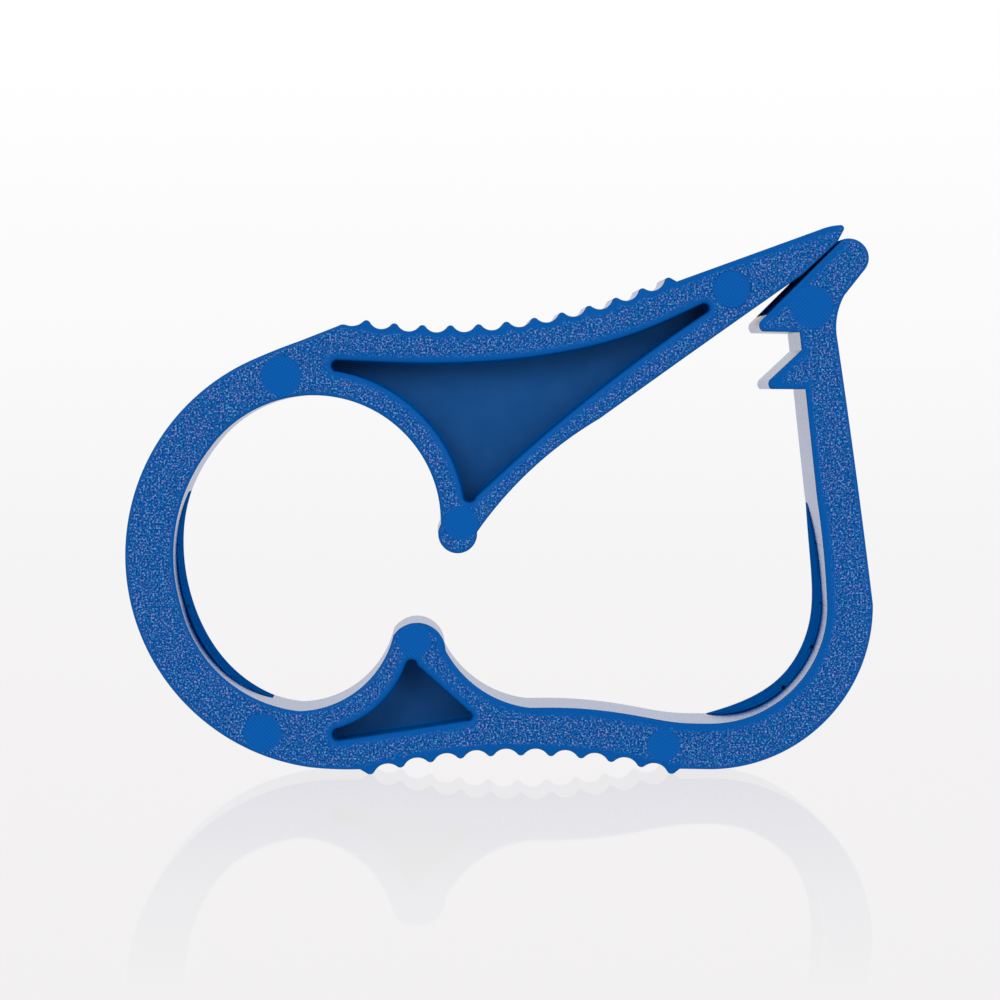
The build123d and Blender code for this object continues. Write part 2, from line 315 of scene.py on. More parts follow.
def region(x, z):
    """The piece that holds a place in the plane."""
    bow = math.degrees(math.atan2(z - BOW_C[1], x - BOW_C[0])) % 360
    for k in range(len(BOW_ENDS) - 1):
        if x < -11.3 and BOW_ENDS[k + 1] < bow < BOW_ENDS[k]:
            return "bow_bend_%d" % (k + 1)
    if on_beak(x, z):
        return "upper_moulding"
    if x > 20.9 and z > POST_ENDS[2] or x > 18.05 and z > 26:
        return "latch_head"
    if x > 21.0 and z > POST_ENDS[1]:
        return "post_bend_4"
    if x > 21.0 and z > POST_ENDS[0]:
        return "post_bend_3"
    heel = math.degrees(math.atan2(z - HEEL_C[1], x - HEEL_C[0]))
    if x > 20.0 and HEEL_ENDS[1] < heel <= 0.5:
        return "post_bend_2"
    if x > 18.0 and HEEL_ENDS[0] < heel <= HEEL_ENDS[1]:
        return "post_bend_1"
    return "base_moulding" if z < 14 else "upper_moulding"


def on_beak(x, z):
    """True above the slit between the beak and the hook."""
    return x > 18.0 and (z > 34.90 + 0.967 * (x - 21.2) if x < 23.9 else z > 37.6)


def between(a, b, share):
    return (a[0] + (b[0] - a[0]) * share, a[1] + (b[1] - a[1]) * share)


def cut_ring(ring, margins):
    """Adds to a closed line the points where the cuts cross it.

    Returns the line, its margins, and the two ends of each cut, as (share along the cut, point).
    """
    found = []
    for c, (a, b) in enumerate(CUTS):
        for i in range(len(ring)):
            hit = crossing(ring[i], ring[(i + 1) % len(ring)], a, b)
            if hit:
                found.append((i, hit[0], between(a, b, hit[1]), c, hit[1]))
    points, kept, ends = [], [], {}
    for i in range(len(ring)):
        points.append(ring[i])
        kept.append(margins[i])
        for _, _, point, c, share in sorted(f for f in found if f[0] == i):
            near = [k for k in (0, 1) if math.dist(point, ring[(i + k) % len(ring)]) < 0.02]
            points.append(point)
            kept.append(margins[i])
            if near == [0]:
                points.pop(-2)
                kept.pop(-2)
            ends.setdefault(c, []).append((share, point))
    return points, kept, ends


def cut_line(ends):
    """The stretch of a cut inside the moulding, with points crowded towards its ends."""
    (_, a), (_, b) = min(ends), max(ends)
    length = math.dist(a, b)
    marks = set(np.linspace(0, length, max(2, math.ceil(length / CUT_STEP) + 1))[1:])
    marks = {m for m in marks if m > CORNER} | {s for s in STEPS if s < CORNER * length}
    marks = {m for m in marks if length - m > CORNER or m == length}
    marks |= {length - s for s in STEPS if s < 0.45 * length}
    return [a] + [between(a, b, m / length) for m in sorted(marks)]


# ---------------------------------------------------------------- the moulding's surface
class Surface:
    """Triangles and quads in 3-D with a value for each corner point, welded by place."""

    def __init__(self):
        self.points, self.index, self.values, self.faces, self.places, self.kinds = [], {}, [], [], [], []

    def point(self, x, y, z, grain):
        key = (round(x, 4), round(y, 4), round(z, 4))
        if key not in self.index:
            self.index[key] = len(self.points)
            self.points.append((x, y, z))
            self.values.append(grain)
        return self.index[key]

    def face(self, corners, place, kind):
        loop = [c for k, c in enumerate(corners) if c != corners[k - 1]]
        if len(loop) > 2:
            self.faces.append(loop)
            self.places.append(place)
            self.kinds.append(kind)


FACE, WALL, MARK, LEDGE, POCKET = range(5)
STEPS = (0.02, 0.06, EDGE_R, 0.30, 0.50, 0.75)
RIM_STEPS = (0.03, 0.09, 0.18, RIM_R, 0.45, 0.70)
surface = Surface()


def offset_rings(ring, normals, steps, skip=()):
    """Points inside the moulding at set distances from a closed line, away from its other stretches."""
    p, n = np.asarray(ring, float), np.asarray(normals, float)
    use = np.array([tuple(q) not in skip for q in ring])
    out = []
    for k, d in enumerate(steps):
        q = (p - n * d)[use]
        if k > 3:
            q = q[::2]
        away, _ = distance(q, ring)
        q = q[away > 0.93 * d]
        _, first = np.unique(np.round(q / 0.025), axis=0, return_index=True)
        out.append(q[np.sort(first)])
    return np.concatenate(out)


def wall_drop(p, ring, pockets):
    """How far the face has dropped at each point, for the rounded edges and pocket rims.

    Also returns the distance to the ring, its nearest segment, and the distance to the pockets.
    """
    d, which = distance(p, ring)
    drop = rounding(d, EDGE_R)
    rim = np.full(len(p), 9.0)
    for pocket in pockets:
        rim = np.minimum(rim, distance(p, pocket)[0])
    return drop + rounding(rim, RIM_R), d, which, rim


def teeth(p):
    """Height above the valley line of the ridge rows, and -9 away from them."""
    x, z = p[:, 0], p[:, 1]
    top = np.where((x > -10.9) & (x < 12.6) & (z > 28), TOP_R - np.hypot(x - TOP_C[0], z - TOP_C[1]), -9.0)
    low = np.where((x > -10.2) & (x < 12.9) & (z < 6), LOW_R - np.hypot(x - LOW_C[0], z - LOW_C[1]), -9.0)
    return np.maximum(top, low)


def marks_at(p):
    """Share of an ejector mark at each point, 1 inside, and its depth there."""
    share, depth = np.zeros(len(p)), np.zeros(len(p))
    for x, z, size, deep in MARKS:
        r = np.hypot(p[:, 0] - x, p[:, 1] - z)
        here = 1 - smooth(r, size / 2 - MARK_IN, size / 2 + MARK_OUT)
        share, depth = np.maximum(share, here), np.maximum(depth, deep * here)
    return share, depth


def build_face(ring, margins, ends, side):
    """Front (side -1) or rear (side 1) face: everything inside the ring but the pockets."""
    pockets = (UPPER_POCKET, LOWER_POCKET)
    points, edges = [], []

    def add(line):
        first, count = len(points), len(line)
        points.extend(line)
        edges.extend((first + k, first + (k + 1) % count) for k in range(count))

    add(ring)
    for pocket in pockets:
        add(pocket)
    at = {p: k for k, p in enumerate(points)}
    lines = [cut_line(ends[c]) for c in range(len(CUTS))]
    for line in lines:
        numbers = []
        for q in line:
            if q not in at:
                at[q] = len(points)
                points.append(q)
            numbers.append(at[q])
        edges.extend(zip(numbers[:-1], numbers[1:]))
    if side < 0:
        for x, z, size, _ in MARKS:
            for gap in (-MARK_IN, MARK_OUT):
                add([polar((x, z), size / 2 + gap, 6 * k) for k in range(60)])
    fixed = np.array(points)
    cut_ends = {e[1] for hits in ends.values() for e in hits}
    loose = [offset_rings(ring, normals_2d(ring), STEPS, cut_ends)]
    for pocket in pockets:
        loose.append(offset_rings(pocket, pocket_out(pocket), RIM_STEPS))
    xs, zs = np.meshgrid(np.arange(-26.5, 26.5, GRID_STEP), np.arange(0.1, 39, GRID_STEP))
    grid = np.stack([xs.ravel() + 0.13 * np.sin(7 * zs.ravel()), zs.ravel()], 1)
    grid = grid[inside(grid, ring)]
    grid = grid[distance(grid, ring)[0] > 0.95]
    for pocket in pockets:
        grid = grid[distance(grid, pocket)[0] > 0.85]
    loose.append(grid)
    loose = np.concatenate(loose)
    loose = loose[inside(loose, ring)]
    for pocket in pockets:
        loose = loose[~inside(loose, pocket)]
    reach = np.minimum(0.05, 0.5 * distance(loose, ring)[0] + 0.004)
    free = np.ones(len(loose), bool)
    for line in lines:
        free &= distance(loose, line, closed=False)[0] > reach
    loose = loose[free]
    if side < 0:
        for x, z, size, _ in MARKS:
            r = np.hypot(loose[:, 0] - x, loose[:, 1] - z)
            loose = loose[np.abs(r - size / 2) > 0.10]
    every = np.concatenate([fixed, loose])
    flat, _, triangles, origins, _, _ = geometry.delaunay_2d_cdt(
        [Vector(p) for p in every.tolist()], edges, [], 0, 1e-6)
    place = np.array([every[o[0]] if o else (v.x, v.y) for v, o in zip(flat, origins)])
    outer = np.array([bool(o) and min(o) < len(ring) for o in origins])
    tri = np.array([t for t in triangles if len(t) == 3])
    middle = place[tri].mean(1)
    keep = inside(middle, ring)
    for pocket in pockets:
        keep &= ~inside(middle, pocket)
    tri, middle = tri[keep], middle[keep]
    drop, d, which, rim = wall_drop(place, ring, pockets)
    margin = np.asarray(margins)[which]
    grain = smooth(d / margin, 0.75, 1.35) * smooth(rim, 0.30, 0.62)
    high = teeth(place)
    grain *= 1 - smooth(high, -0.36, -0.26)
    drop = drop + 0.10 * smooth(high, -0.05, 0.06)
    mark, depth = marks_at(place) if side < 0 else (np.zeros(len(place)), 0.0)
    drop = drop + depth
    share = marks_at(middle)[0] if side < 0 else np.zeros(len(middle))
    grain *= 1 - smooth(mark, 0.0, 0.4)
    y = side * (HALF - drop)
    ids = [surface.point(*p, g) for p, g in zip(np.insert(place, 1, y, axis=1).tolist(), grain.tolist())]
    for (a, b, c), (mx, mz), m in zip(tri.tolist(), middle.tolist(), share.tolist()):
        ax, az, bx, bz, cx, cz = *place[a], *place[b], *place[c]
        turn = (bx - ax) * (cz - az) - (bz - az) * (cx - ax)
        if abs(turn) < 2e-5 and outer[a] and outer[b] and outer[c]:
            continue
        if (turn > 0) != (side < 0):
            a, c = c, a
        surface.face([ids[a], ids[b], ids[c]], region(mx, mz), MARK if m > 0.9 else FACE)
    return {tuple(p): (v, i) for p, v, i in zip(place.tolist(), y.tolist(), ids)}


def pocket_out(pocket):
    """Directions out of the moulding, into the pocket, at each of its points."""
    n = normals_2d(pocket)
    middle = np.asarray(pocket) + 0.05 * n
    return n if inside(middle, pocket).mean() > 0.5 else -n


def ledge_y(p):
    """Front of the ledge at a place, deeper towards its ends, where it runs out."""
    x, z = np.moveaxis(np.asarray(p, float), -1, 0)
    post = np.maximum((z - 12.2) / 6.8, np.where(z < 8, (19.8 - x) / 4.8, 0.0))
    bow = np.maximum((z - 17.0) / 4.8, np.where(z < 10, (x + 19.8) / 4.8, 0.0))
    rise = np.clip(np.where(x > 0, post, bow), 0, 1.1)
    return LEDGE_Y + 4.4 * rise ** 2.2


def ledge_crossings(ring):
    """Each ledge's line and its first and last crossings with the ring.

    A crossing is (place on the ring, place on the line, point).
    """
    found = []
    for ledge in (BOW_LEDGE, HEEL_LEDGE):
        line = ledge[::-1]
        hits = []
        for s in range(len(line) - 1):
            for i in range(len(ring)):
                hit = crossing(ring[i], ring[(i + 1) % len(ring)], line[s], line[s + 1])
                if hit:
                    hits.append((i + hit[0], s + hit[1], between(line[s], line[s + 1], hit[1])))
        found.append((line, (min(hits), max(hits))))
    return found


def make_rings():
    """Front and rear outlines with the cuts' ends and the ledges' tips as points, and each ledge's tips."""
    ring, margins = list(OUTLINE), list(MARGIN)
    tips = ledge_crossings(ring)
    for _, hits in tips:
        for where, _, point in hits:
            k = next(i for i in range(len(ring)) if math.dist(ring[i], OUTLINE[int(where)]) < 1e-9)
            ring.insert(k + 1, point)
            margins.insert(k + 1, margins[k])
    rear, rear_margins = list(ring), list(margins)
    stretches = []
    for line, hits in tips:
        a, b = hits[0][2], hits[1][2]
        i, j = rear.index(a), rear.index(b)
        s0, s1 = sorted((hits[0][1], hits[1][1]))
        middle = [line[k] for k in range(math.ceil(s0), math.floor(s1) + 1)]
        if math.dist(middle[0], a) > math.dist(middle[-1], a):
            middle = middle[::-1]
        middle = [p for p in middle if math.dist(p, a) > 0.05 and math.dist(p, b) > 0.05]
        rear[i + 1:j] = middle
        rear_margins[i + 1:j] = [0.2] * len(middle)
        stretches.append((a, b))
    return cut_ring(ring, margins), cut_ring(rear, rear_margins), stretches


FRONT, REAR, TIPS = make_rings()
front_at = build_face(*FRONT, -1)
rear_at = build_face(*REAR, 1)
front_ring, rear_ring = FRONT[0], REAR[0]


def stretch(ring, a, b):
    """The points of a closed line from a to b."""
    i, j = ring.index(a), ring.index(b)
    return ring[i:j + 1] if i < j else ring[i:] + ring[:j + 1]


def build_crescent(a, b):
    """A ledge: its front, which meets the main wall, and the y of its front at its own points."""
    root, lip = stretch(front_ring, a, b), stretch(rear_ring, a, b)
    loop = root + lip[-2:0:-1]
    count = len(loop)
    edges = [(k, (k + 1) % count) for k in range(count)]
    lip_line = np.array(lip)
    n = normals_2d(rear_ring)
    start = rear_ring.index(a)
    near = np.array([n[(start + k) % len(rear_ring)] for k in range(len(lip))])
    inner = np.concatenate([lip_line - near * d for d in (0.025, 0.07, 0.12)])
    inner = inner[inside(inner, loop)]
    inner = inner[distance(inner, root, closed=False)[0] > 0.03]
    inner = inner[distance(inner, lip_line, closed=False)[0] > 0.02]
    cuts = []
    for c in range(len(CUTS)):
        f = [p for _, p in FRONT[2][c] if p in root and p not in (a, b)]
        r = [p for _, p in REAR[2][c] if p in lip and p not in (a, b)]
        if f and r:
            cuts.append((loop.index(f[0]), loop.index(r[0])))
            gap = distance(inner, [f[0], r[0]], closed=False)[0]
            inner = inner[gap > 0.03]
    every = np.concatenate([np.array(loop), inner])
    flat, _, triangles, origins, _, _ = geometry.delaunay_2d_cdt(
        [Vector(p) for p in every.tolist()], edges + cuts, [], 0, 1e-7)
    place = np.array([every[o[0]] if o else (v.x, v.y) for v, o in zip(flat, origins)])
    outer = np.array([bool(o) and min(o) < count for o in origins])
    y = ledge_y(place) + rounding(distance(place, lip_line, closed=False)[0], 0.12)
    y = np.minimum(y, HALF - EDGE_R - 0.02)
    ids = [surface.point(px, py, pz, 0.0) for (px, pz), py in zip(place.tolist(), y.tolist())]
    tri = np.array([t for t in triangles if len(t) == 3])
    middle = place[tri].mean(1)
    for (i, j, k), m, ok in zip(tri.tolist(), middle.tolist(), inside(middle, loop).tolist()):
        (ax, az), (bx, bz), (cx, cz) = place[i], place[j], place[k]
        turn = (bx - ax) * (cz - az) - (bz - az) * (cx - ax)
        if ok and (abs(turn) > 2e-5 or not (outer[i] and outer[j] and outer[k])):
            trio = [ids[i], ids[j], ids[k]]
            surface.face(trio if turn > 0 else trio[::-1], region(*m), LEDGE)
    return {tuple(p): v for p, v in zip(place.tolist(), y.tolist())}


def build_walls(ring, low, high, kind):
    """Quads between two depths along a line, given as functions of the point.

    A wall that goes from face to face has a corner more where a ledge starts.
    """
    ys = [(low(p), high(p)) for p in ring]
    for k in range(len(ring) - 1):
        (x0, z0), (x1, z1) = ring[k], ring[k + 1]
        (a0, b0), (a1, b1) = ys[k], ys[k + 1]
        corners = [surface.point(x0, a0, z0, 0.0), surface.point(x1, a1, z1, 0.0),
                   surface.point(x1, b1, z1, 0.0), surface.point(x0, b0, z0, 0.0)]
        if ring[k + 1] in TIP_SET and b1 - a1 > FULL_WALL:
            corners.insert(2, surface.point(x1, ledge_root[ring[k + 1]], z1, 0.0))
        if ring[k] in TIP_SET and b0 - a0 > FULL_WALL:
            corners.append(surface.point(x0, ledge_root[ring[k]], z0, 0.0))
        dx, dz = x1 - x0, z1 - z0
        size = max(math.hypot(dx, dz), 1e-9)
        place = region((x0 + x1) / 2 - dz / size * 0.01, (z0 + z1) / 2 + dx / size * 0.01)
        in_slit = 18.4 < min(x0, x1) and max(x0, x1) < 24.1 and min(z0, z1) > 32.0 and not on_beak(x0, z0)
        surface.face(corners, place, LEDGE if in_slit else kind)


ledge_root = {}
for a, b in TIPS:
    ledge_root.update(build_crescent(a, b))
TIP_SET = {p for pair in TIPS for p in pair}


def front_y(p):
    return front_at[p][0]


def rear_y(p):
    return rear_at[p][0]


(BOW_A, BOW_B), (HEEL_A, HEEL_B) = TIPS
PLAIN = [(BOW_B, HEEL_A), (HEEL_B, BOW_A)]
if front_ring.index(BOW_A) > front_ring.index(HEEL_A):
    PLAIN.reverse()
for a, b in PLAIN:
    build_walls(stretch(front_ring, a, b), front_y, rear_y, WALL)
for a, b in TIPS:
    root, lip = stretch(front_ring, a, b), stretch(rear_ring, a, b)
    build_walls(root, front_y, lambda p: ledge_root[p], WALL)
    build_walls(lip, lambda p: ledge_root[p], rear_y, LEDGE)


def build_pocket(pocket):
    """The walls of a pocket, their fillets on both sides of the web, and the band hidden inside the web."""
    n = pocket_out(pocket)
    ring = np.asarray(pocket)
    rows = []
    for side in (-1, 1):
        at = front_at if side < 0 else rear_at
        top = [at[p][0] for p in pocket]
        column = [[(x, y, z) for (x, z), y in zip(pocket, top)]]
        for angle in (0, 22, 45, 68, 90):
            t = math.radians(angle)
            inset, rise = TOE * (1 - math.cos(t)), TOE * (1 - math.sin(t))
            moved = ring + n * inset
            y = side * (WEB_HALF + rise - (SINK if angle == 90 else 0))
            column.append([(x, y, z) for x, z in moved])
        rows.append(column)
    column = rows[0] + rows[1][::-1]
    count = len(pocket)
    for k in range(count):
        k1 = (k + 1) % count
        place = region(*pocket[k])
        for low, high in zip(column[:-1], column[1:]):
            corners = [surface.point(*low[k], 0.0), surface.point(*high[k], 0.0),
                       surface.point(*high[k1], 0.0), surface.point(*low[k1], 0.0)]
            (x0, _, z0), (x1, _, z1) = low[k], low[k1]
            turn = (x1 - x0) * n[k][1] - (z1 - z0) * n[k][0]
            surface.face(corners if turn > 0 else corners[::-1], place, POCKET)


for pocket in (UPPER_POCKET, LOWER_POCKET):
    build_pocket(pocket)


# ---------------------------------------------------------------- materials
def node(tree, kind, inputs=(), **settings):
    made = tree.nodes.new(kind)
    for key, value in settings.items():
        setattr(made, key, value)
    for name, value in dict(inputs).items():
        socket = made.inputs[name]
        if isinstance(value, bpy.types.NodeSocket):
            tree.links.new(value, socket)
        else:
            socket.default_value = value
    return made


def maths(tree, operation, a, b=0.0, c=None):
    inputs = {0: a, 1: b}
    if c is not None:
        inputs[2] = c
    return node(tree, "ShaderNodeMath", inputs, operation=operation).outputs[0]


def ramp(tree, value, lo, hi, to_lo=0.0, to_hi=1.0):
    return node(tree, "ShaderNodeMapRange", {0: value, 1: lo, 2: hi, 3: to_lo, 4: to_hi},
                interpolation_type="SMOOTHSTEP").outputs[0]


def mix(tree, share, a, b):
    made = node(tree, "ShaderNodeMix", {0: share}, data_type="RGBA")
    for socket, value in ((made.inputs[6], a), (made.inputs[7], b)):
        if isinstance(value, bpy.types.NodeSocket):
            tree.links.new(value, socket)
        else:
            socket.default_value = (*value, 1.0)
    return made.outputs[2]


def noise(tree, where, scale, detail=2.0, rough=0.5, twist=0.0):
    inputs = {"Vector": where, "Scale": scale, "Detail": detail, "Roughness": rough, "Distortion": twist}
    return node(tree, "ShaderNodeTexNoise", inputs).outputs[0]


def fresh(name, gloss=0.5):
    material = bpy.data.materials.new(name)
    material.use_nodes = True
    tree = material.node_tree
    shader = tree.nodes["Principled BSDF"]
    shader.inputs["Specular IOR Level"].default_value = gloss
    return material, tree, shader


def rest_place(tree):
    return node(tree, "ShaderNodeAttribute", attribute_name="rest_mm").outputs["Vector"]


BLUE = (0.0, 0.076, 0.310)      # linear RGB of the plastic


def face_material():
    """Spark-eroded grain on the faces, with smooth margins. Painted glints on the grain's crests and painted
    shade in its pits are mixed into the base colour.
    """
    material, tree, shader = fresh("moulded_blue_grained", 0.04)
    where = rest_place(tree)
    grain = node(tree, "ShaderNodeAttribute", attribute_name="grain").outputs["Fac"]
    worms = noise(tree, where, 4.4, 1.5, 0.5, 0.6)
    fine = noise(tree, where, 7.6, 1.0, 0.5)
    ridge = maths(tree, "ABSOLUTE", maths(tree, "SUBTRACT", worms, 0.5))
    crest = ramp(tree, ridge, 0.02, 0.13, 1.0, 0.0)
    speck = ramp(tree, fine, 0.50, 0.63)
    # Painted highlight: lighter specks on the grain's crests stand in for glints from the lights.
    painted_glint = maths(tree, "MULTIPLY", maths(tree, "MULTIPLY", crest, speck), grain)
    # Painted shade: the base colour is darkened in the grain's pits.
    painted_pit_shade = maths(tree, "MULTIPLY", ramp(tree, fine, 0.50, 0.34), grain)
    patch = noise(tree, where, 0.09, 1.0, 0.5)
    base = mix(tree, ramp(tree, patch, 0.35, 0.65, 0.0, 0.5), BLUE, (0.0, 0.074, 0.295))
    body = mix(tree, maths(tree, "MULTIPLY", grain, 0.45), base, (0.0, 0.078, 0.29))
    deep = mix(tree, maths(tree, "MULTIPLY", painted_pit_shade, 0.8), body, (0.0, 0.026, 0.14))
    tint = mix(tree, ramp(tree, noise(tree, where, 2.1), 0.4, 0.6), (0.10, 0.27, 0.50), (0.19, 0.22, 0.48))
    tree.links.new(mix(tree, painted_glint, deep, tint), shader.inputs["Base Color"])
    height = maths(tree, "ADD", maths(tree, "MULTIPLY", crest, 0.6), maths(tree, "MULTIPLY", fine, 0.9))
    height = maths(tree, "MULTIPLY", height, grain)
    bump = node(tree, "ShaderNodeBump", {"Height": height, "Distance": 0.00004, "Strength": 0.8})
    tree.links.new(bump.outputs[0], shader.inputs["Normal"])
    tree.links.new(ramp(tree, grain, 0.0, 1.0, 0.34, 0.42), shader.inputs["Roughness"])
    return material


def wall_material():
    """Side walls: a fine, shallow texture."""
    material, tree, shader = fresh("moulded_blue_wall")
    where = rest_place(tree)
    fine = noise(tree, where, 5.0, 2.0, 0.6)
    tree.links.new(mix(tree, ramp(tree, fine, 0.35, 0.7), (0.0, 0.085, 0.33), (0.03, 0.11, 0.38)),
                   shader.inputs["Base Color"])
    bump = node(tree, "ShaderNodeBump", {"Height": fine, "Distance": 0.00002, "Strength": 0.6})
    tree.links.new(bump.outputs[0], shader.inputs["Normal"])
    shader.inputs["Roughness"].default_value = 0.20
    return material


def mark_material():
    """Ejector marks: the fine lines that the ends of the steel pins leave."""
    material, tree, shader = fresh("moulded_blue_mark", 0.02)
    where = rest_place(tree)
    lines = node(tree, "ShaderNodeTexWave", {"Vector": where, "Scale": 2.2, "Distortion": 1.2, "Detail": 2.0},
                 wave_type="BANDS", bands_direction="DIAGONAL").outputs[1]
    tree.links.new(mix(tree, maths(tree, "MULTIPLY", lines, 0.25), BLUE, (0.02, 0.12, 0.42)),
                   shader.inputs["Base Color"])
    bump = node(tree, "ShaderNodeBump", {"Height": lines, "Distance": 0.00001, "Strength": 0.5})
    tree.links.new(bump.outputs[0], shader.inputs["Normal"])
    shader.inputs["Roughness"].default_value = 0.33
    return material


def plain_material(name, low, high, rough):
    material, tree, shader = fresh(name, 0.0)
    where = rest_place(tree)
    soft = noise(tree, where, 0.8, 2.0, 0.5)
    tree.links.new(mix(tree, ramp(tree, soft, 0.35, 0.65), low, high), shader.inputs["Base Color"])
    fine = noise(tree, where, 6.0)
    bump = node(tree, "ShaderNodeBump", {"Height": fine, "Distance": 0.000006, "Strength": 0.4})
    tree.links.new(bump.outputs[0], shader.inputs["Normal"])
    shader.inputs["Roughness"].default_value = rough
    return material


def web_material():
    # Painted shade: the web is a darker blue than the plastic, standing in for the shade on the floor of each
    # recessed pocket.
    material, tree, shader = fresh("moulded_blue_web_painted_shade", 0.04)
    place = node(tree, "ShaderNodeTexCoord").outputs["Object"]
    soft = noise(tree, place, 700.0, 2.0, 0.5)
    tree.links.new(mix(tree, ramp(tree, soft, 0.35, 0.65), (0.006, 0.062, 0.205), (0.008, 0.066, 0.215)),
                   shader.inputs["Base Color"])
    fine = noise(tree, place, 5000.0)
    bump = node(tree, "ShaderNodeBump", {"Height": fine, "Distance": 0.000005, "Strength": 0.4})
    tree.links.new(bump.outputs[0], shader.inputs["Normal"])
    shader.inputs["Roughness"].default_value = 0.45
    return material


MATERIALS = [face_material(), wall_material(), mark_material(),
             plain_material("moulded_blue_ledge", BLUE, (0.0, 0.086, 0.335), 0.34),
             plain_material("moulded_blue_pocket", (0.0, 0.072, 0.27), (0.0, 0.076, 0.285), 0.40)]


# ---------------------------------------------------------------- pieces
def master_mesh():
    """The whole moulding as one mesh, for its corner normals."""
    mesh = bpy.data.meshes.new("moulding")
    points = np.array(surface.points) * MM
    mesh.from_pydata(points.tolist(), [], surface.faces)
    mesh.shade_smooth()
    mesh.set_sharp_from_angle(angle=math.radians(SHARP))
    mesh.update()
    return mesh


def corner_normals(mesh):
    out = np.empty(len(mesh.loops) * 3, np.float32)
    mesh.corner_normals.foreach_get("vector", out)
    return out.reshape(-1, 3)


MASTER = master_mesh()
NORMALS = corner_normals(MASTER)
STARTS = np.cumsum([0] + [len(f) for f in surface.faces])


def boundary_loops(bm):
    """Rings of corner points round the open cuts of a piece."""
    left = {e for e in bm.edges if e.is_boundary}
    loops = []
    while left:
        edge = left.pop()
        first, here = edge.verts
        loop = [first, here]
        while here is not first:
            edge = next(e for e in here.link_edges if e in left)
            left.discard(edge)
            here = edge.other_vert(here)
            loop.append(here)
        loops.append(loop[:-1])
    return loops


def along(line):
    """Share of the way along a line of corner points, in the plane."""
    steps = [math.hypot(b.co.x - a.co.x, b.co.z - a.co.z) for a, b in zip(line[:-1], line[1:])]
    total = np.concatenate([[0.0], np.cumsum(steps)])
    return total / total[-1]


def close_cuts(bm):
    """Closes each open cut with a ladder of triangles from its front edge to its rear edge."""
    for loop in boundary_loops(bm):
        behind = [v.co.y > 4.8 * MM for v in loop]
        start = next(k for k in range(len(loop)) if not behind[k] and behind[k - 1])
        loop, behind = loop[start:] + loop[:start], behind[start:] + behind[:start]
        front = [v for v, b in zip(loop, behind) if not b]
        rear = [v for v, b in zip(loop, behind) if b][::-1]
        s, t = along(front), along(rear)
        i = j = 0
        corners = next(f for f in front[0].link_faces if front[1] in f.verts).verts[:]
        flip = corners[(corners.index(front[0]) + 1) % len(corners)] is front[1]
        while i < len(front) - 1 or j < len(rear) - 1:
            ahead = j == len(rear) - 1 or i < len(front) - 1 and s[i + 1] <= t[j + 1] + 1e-6
            trio = [front[i], front[i + 1], rear[j]] if ahead else [front[i], rear[j + 1], rear[j]]
            made = bm.faces.new(trio[::-1] if flip else trio)
            made.material_index = WALL
            i, j = (i + 1, j) if ahead else (i, j + 1)
        for k, v in enumerate(loop):
            bm.edges.get((loop[k - 1], v)).smooth = False


def piece(name):
    """One piece of the moulding, closed where it meets the next."""
    chosen = [k for k, place in enumerate(surface.places) if place == name]
    used = sorted({v for k in chosen for v in surface.faces[k]})
    number = {v: i for i, v in enumerate(used)}
    mesh = bpy.data.meshes.new(name)
    points = np.array([surface.points[v] for v in used])
    mesh.from_pydata((points * MM).tolist(), [], [[number[v] for v in surface.faces[k]] for k in chosen])
    mesh.polygons.foreach_set("material_index", [surface.kinds[k] for k in chosen])
    bm = bmesh.new()
    bm.from_mesh(mesh)
    close_cuts(bm)
    bm.to_mesh(mesh)
    bm.free()
    for material in MATERIALS:
        mesh.materials.append(material)
    normals = np.concatenate([NORMALS[STARTS[k]:STARTS[k + 1]] for k in chosen])
    caps = mesh.polygons[len(chosen):]
    extra = [tuple(p.normal) for p in caps for _ in p.loop_indices]
    mesh.polygons.foreach_set("use_smooth", [True] * len(mesh.polygons))
    mesh.normals_split_custom_set(normals.tolist() + extra)
    rest = mesh.attributes.new("rest_mm", "FLOAT_VECTOR", "POINT")
    rest.data.foreach_set("vector", points.astype(np.float32).ravel())
    grain = mesh.attributes.new("grain", "FLOAT", "POINT")
    grain.data.foreach_set("value", np.array([surface.values[v] for v in used], np.float32))
    made_object = bpy.data.objects.new(name + "_skin", mesh)
    bpy.context.scene.collection.objects.link(made_object)
    return made_object


# Skins that ride on one body: (body, CAD nodes that they stand for).
RIGID = {
    "base_moulding": ("base", "bow_base", "lower_arm", "lower_grip_ridges", "lower_pinch_nose", "heel"),
    "upper_moulding": ("upper", "upper_arm", "upper_grip_ridges", "upper_pinch_nose", "beak"),
    "latch_head": ("latch", "latch_head"),
}
# Skins at the bends round a centre, made in place and not bent or attached to a body: (body before, body
# after, centre, radius, degrees, half length, CAD nodes).
BENDS = {
    "bow_bend_1": ("base", "bow_1", BOW_C, 13.4, 188, 2.15, ("bow_segment_1",)),
    "bow_bend_2": ("bow_1", "bow_2", BOW_C, 13.4, 166, 2.15, ("bow_segment_1", "bow_segment_2")),
    "bow_bend_3": ("bow_2", "bow_3", BOW_C, 13.4, 144, 2.15, ("bow_segment_2", "bow_segment_3")),
    "bow_bend_4": ("bow_3", "bow_4", BOW_C, 13.4, 122, 2.15, ("bow_segment_3", "bow_segment_4")),
    "bow_bend_5": ("bow_4", "upper", BOW_C, 13.6, 103.5, 1.2, ("bow_segment_4",)),
    "post_bend_1": ("base", "post_1", HEEL_C, 10.0, -35, 1.58, ("post_segment_1",)),
    "post_bend_2": ("post_1", "post_2", HEEL_C, 10.0, -11.25, 1.42, ("post_segment_1", "post_segment_2")),
}
